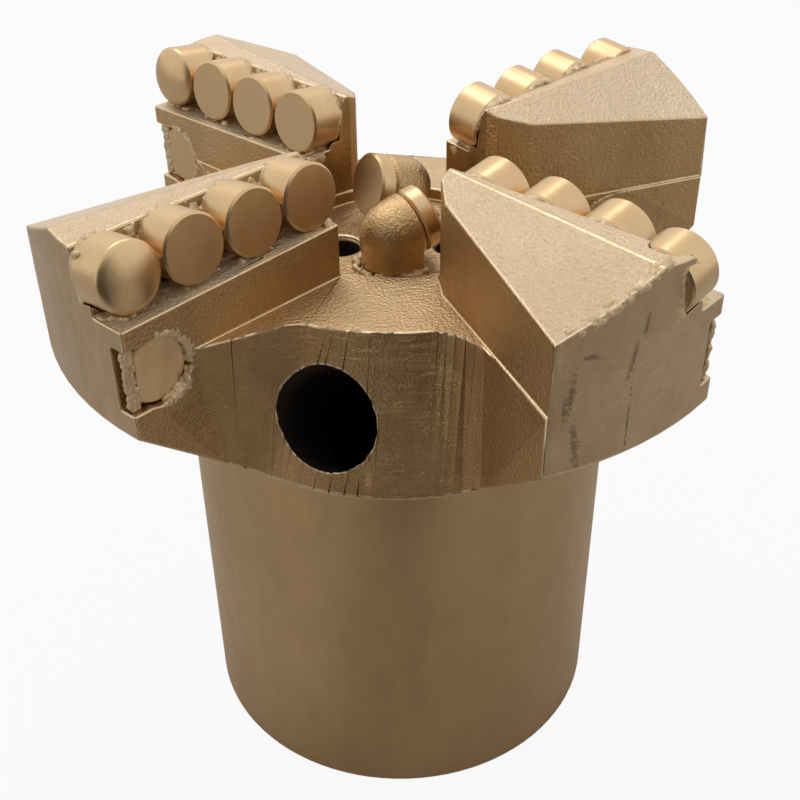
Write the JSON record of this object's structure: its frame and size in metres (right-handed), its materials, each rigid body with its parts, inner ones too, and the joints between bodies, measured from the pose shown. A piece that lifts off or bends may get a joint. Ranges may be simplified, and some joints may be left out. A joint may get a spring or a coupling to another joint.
{
  "type": "polycrystalline diamond drill bit",
  "caption": "Blade drill bit with a plain round shank, round brazed cutters along each blade, cutters in the gauge faces, centre studs and slanting water ports.",
  "frame": {"origin": "centre of the shank's end face, on the bit's axis", "axes": "+Z along the bit's axis from the shank to the cutting end; blades lie at 45, 135, 225 and 315 degrees about Z"},
  "size_m": [0.143, 0.143, 0.1484],
  "materials": {
    "sprayed_steel": "sprayed champagne gold over rough and machined steel",
    "sprayed_compact": "sprayed champagne gold over ground carbide, satin",
    "sprayed_stud": "sprayed champagne gold over cast steel"
  },
  "bodies": {
    "root": {"bit_body": "sprayed_steel", "face_cutter_1_1": "sprayed_compact", "face_cutter_1_2": "sprayed_compact", "face_cutter_1_3": "sprayed_compact", "face_cutter_1_4": "sprayed_compact", "face_cutter_2_1": "sprayed_compact", "face_cutter_2_2": "sprayed_compact", "face_cutter_2_3": "sprayed_compact", "face_cutter_2_4": "sprayed_compact", "face_cutter_3_1": "sprayed_compact", "face_cutter_3_2": "sprayed_compact", "face_cutter_3_3": "sprayed_compact", "face_cutter_3_4": "sprayed_compact", "face_cutter_4_1": "sprayed_compact", "face_cutter_4_2": "sprayed_compact", "face_cutter_4_3": "sprayed_compact", "face_cutter_4_4": "sprayed_compact", "gauge_cutter_1": "sprayed_compact", "gauge_cutter_2": "sprayed_compact", "gauge_cutter_3": "sprayed_compact", "gauge_cutter_4": "sprayed_compact", "centre_stud_front": "sprayed_stud", "centre_stud_back": "sprayed_stud", "centre_cutter_front": "sprayed_compact", "centre_cutter_back": "sprayed_compact"}
  },
  "joints": []
}
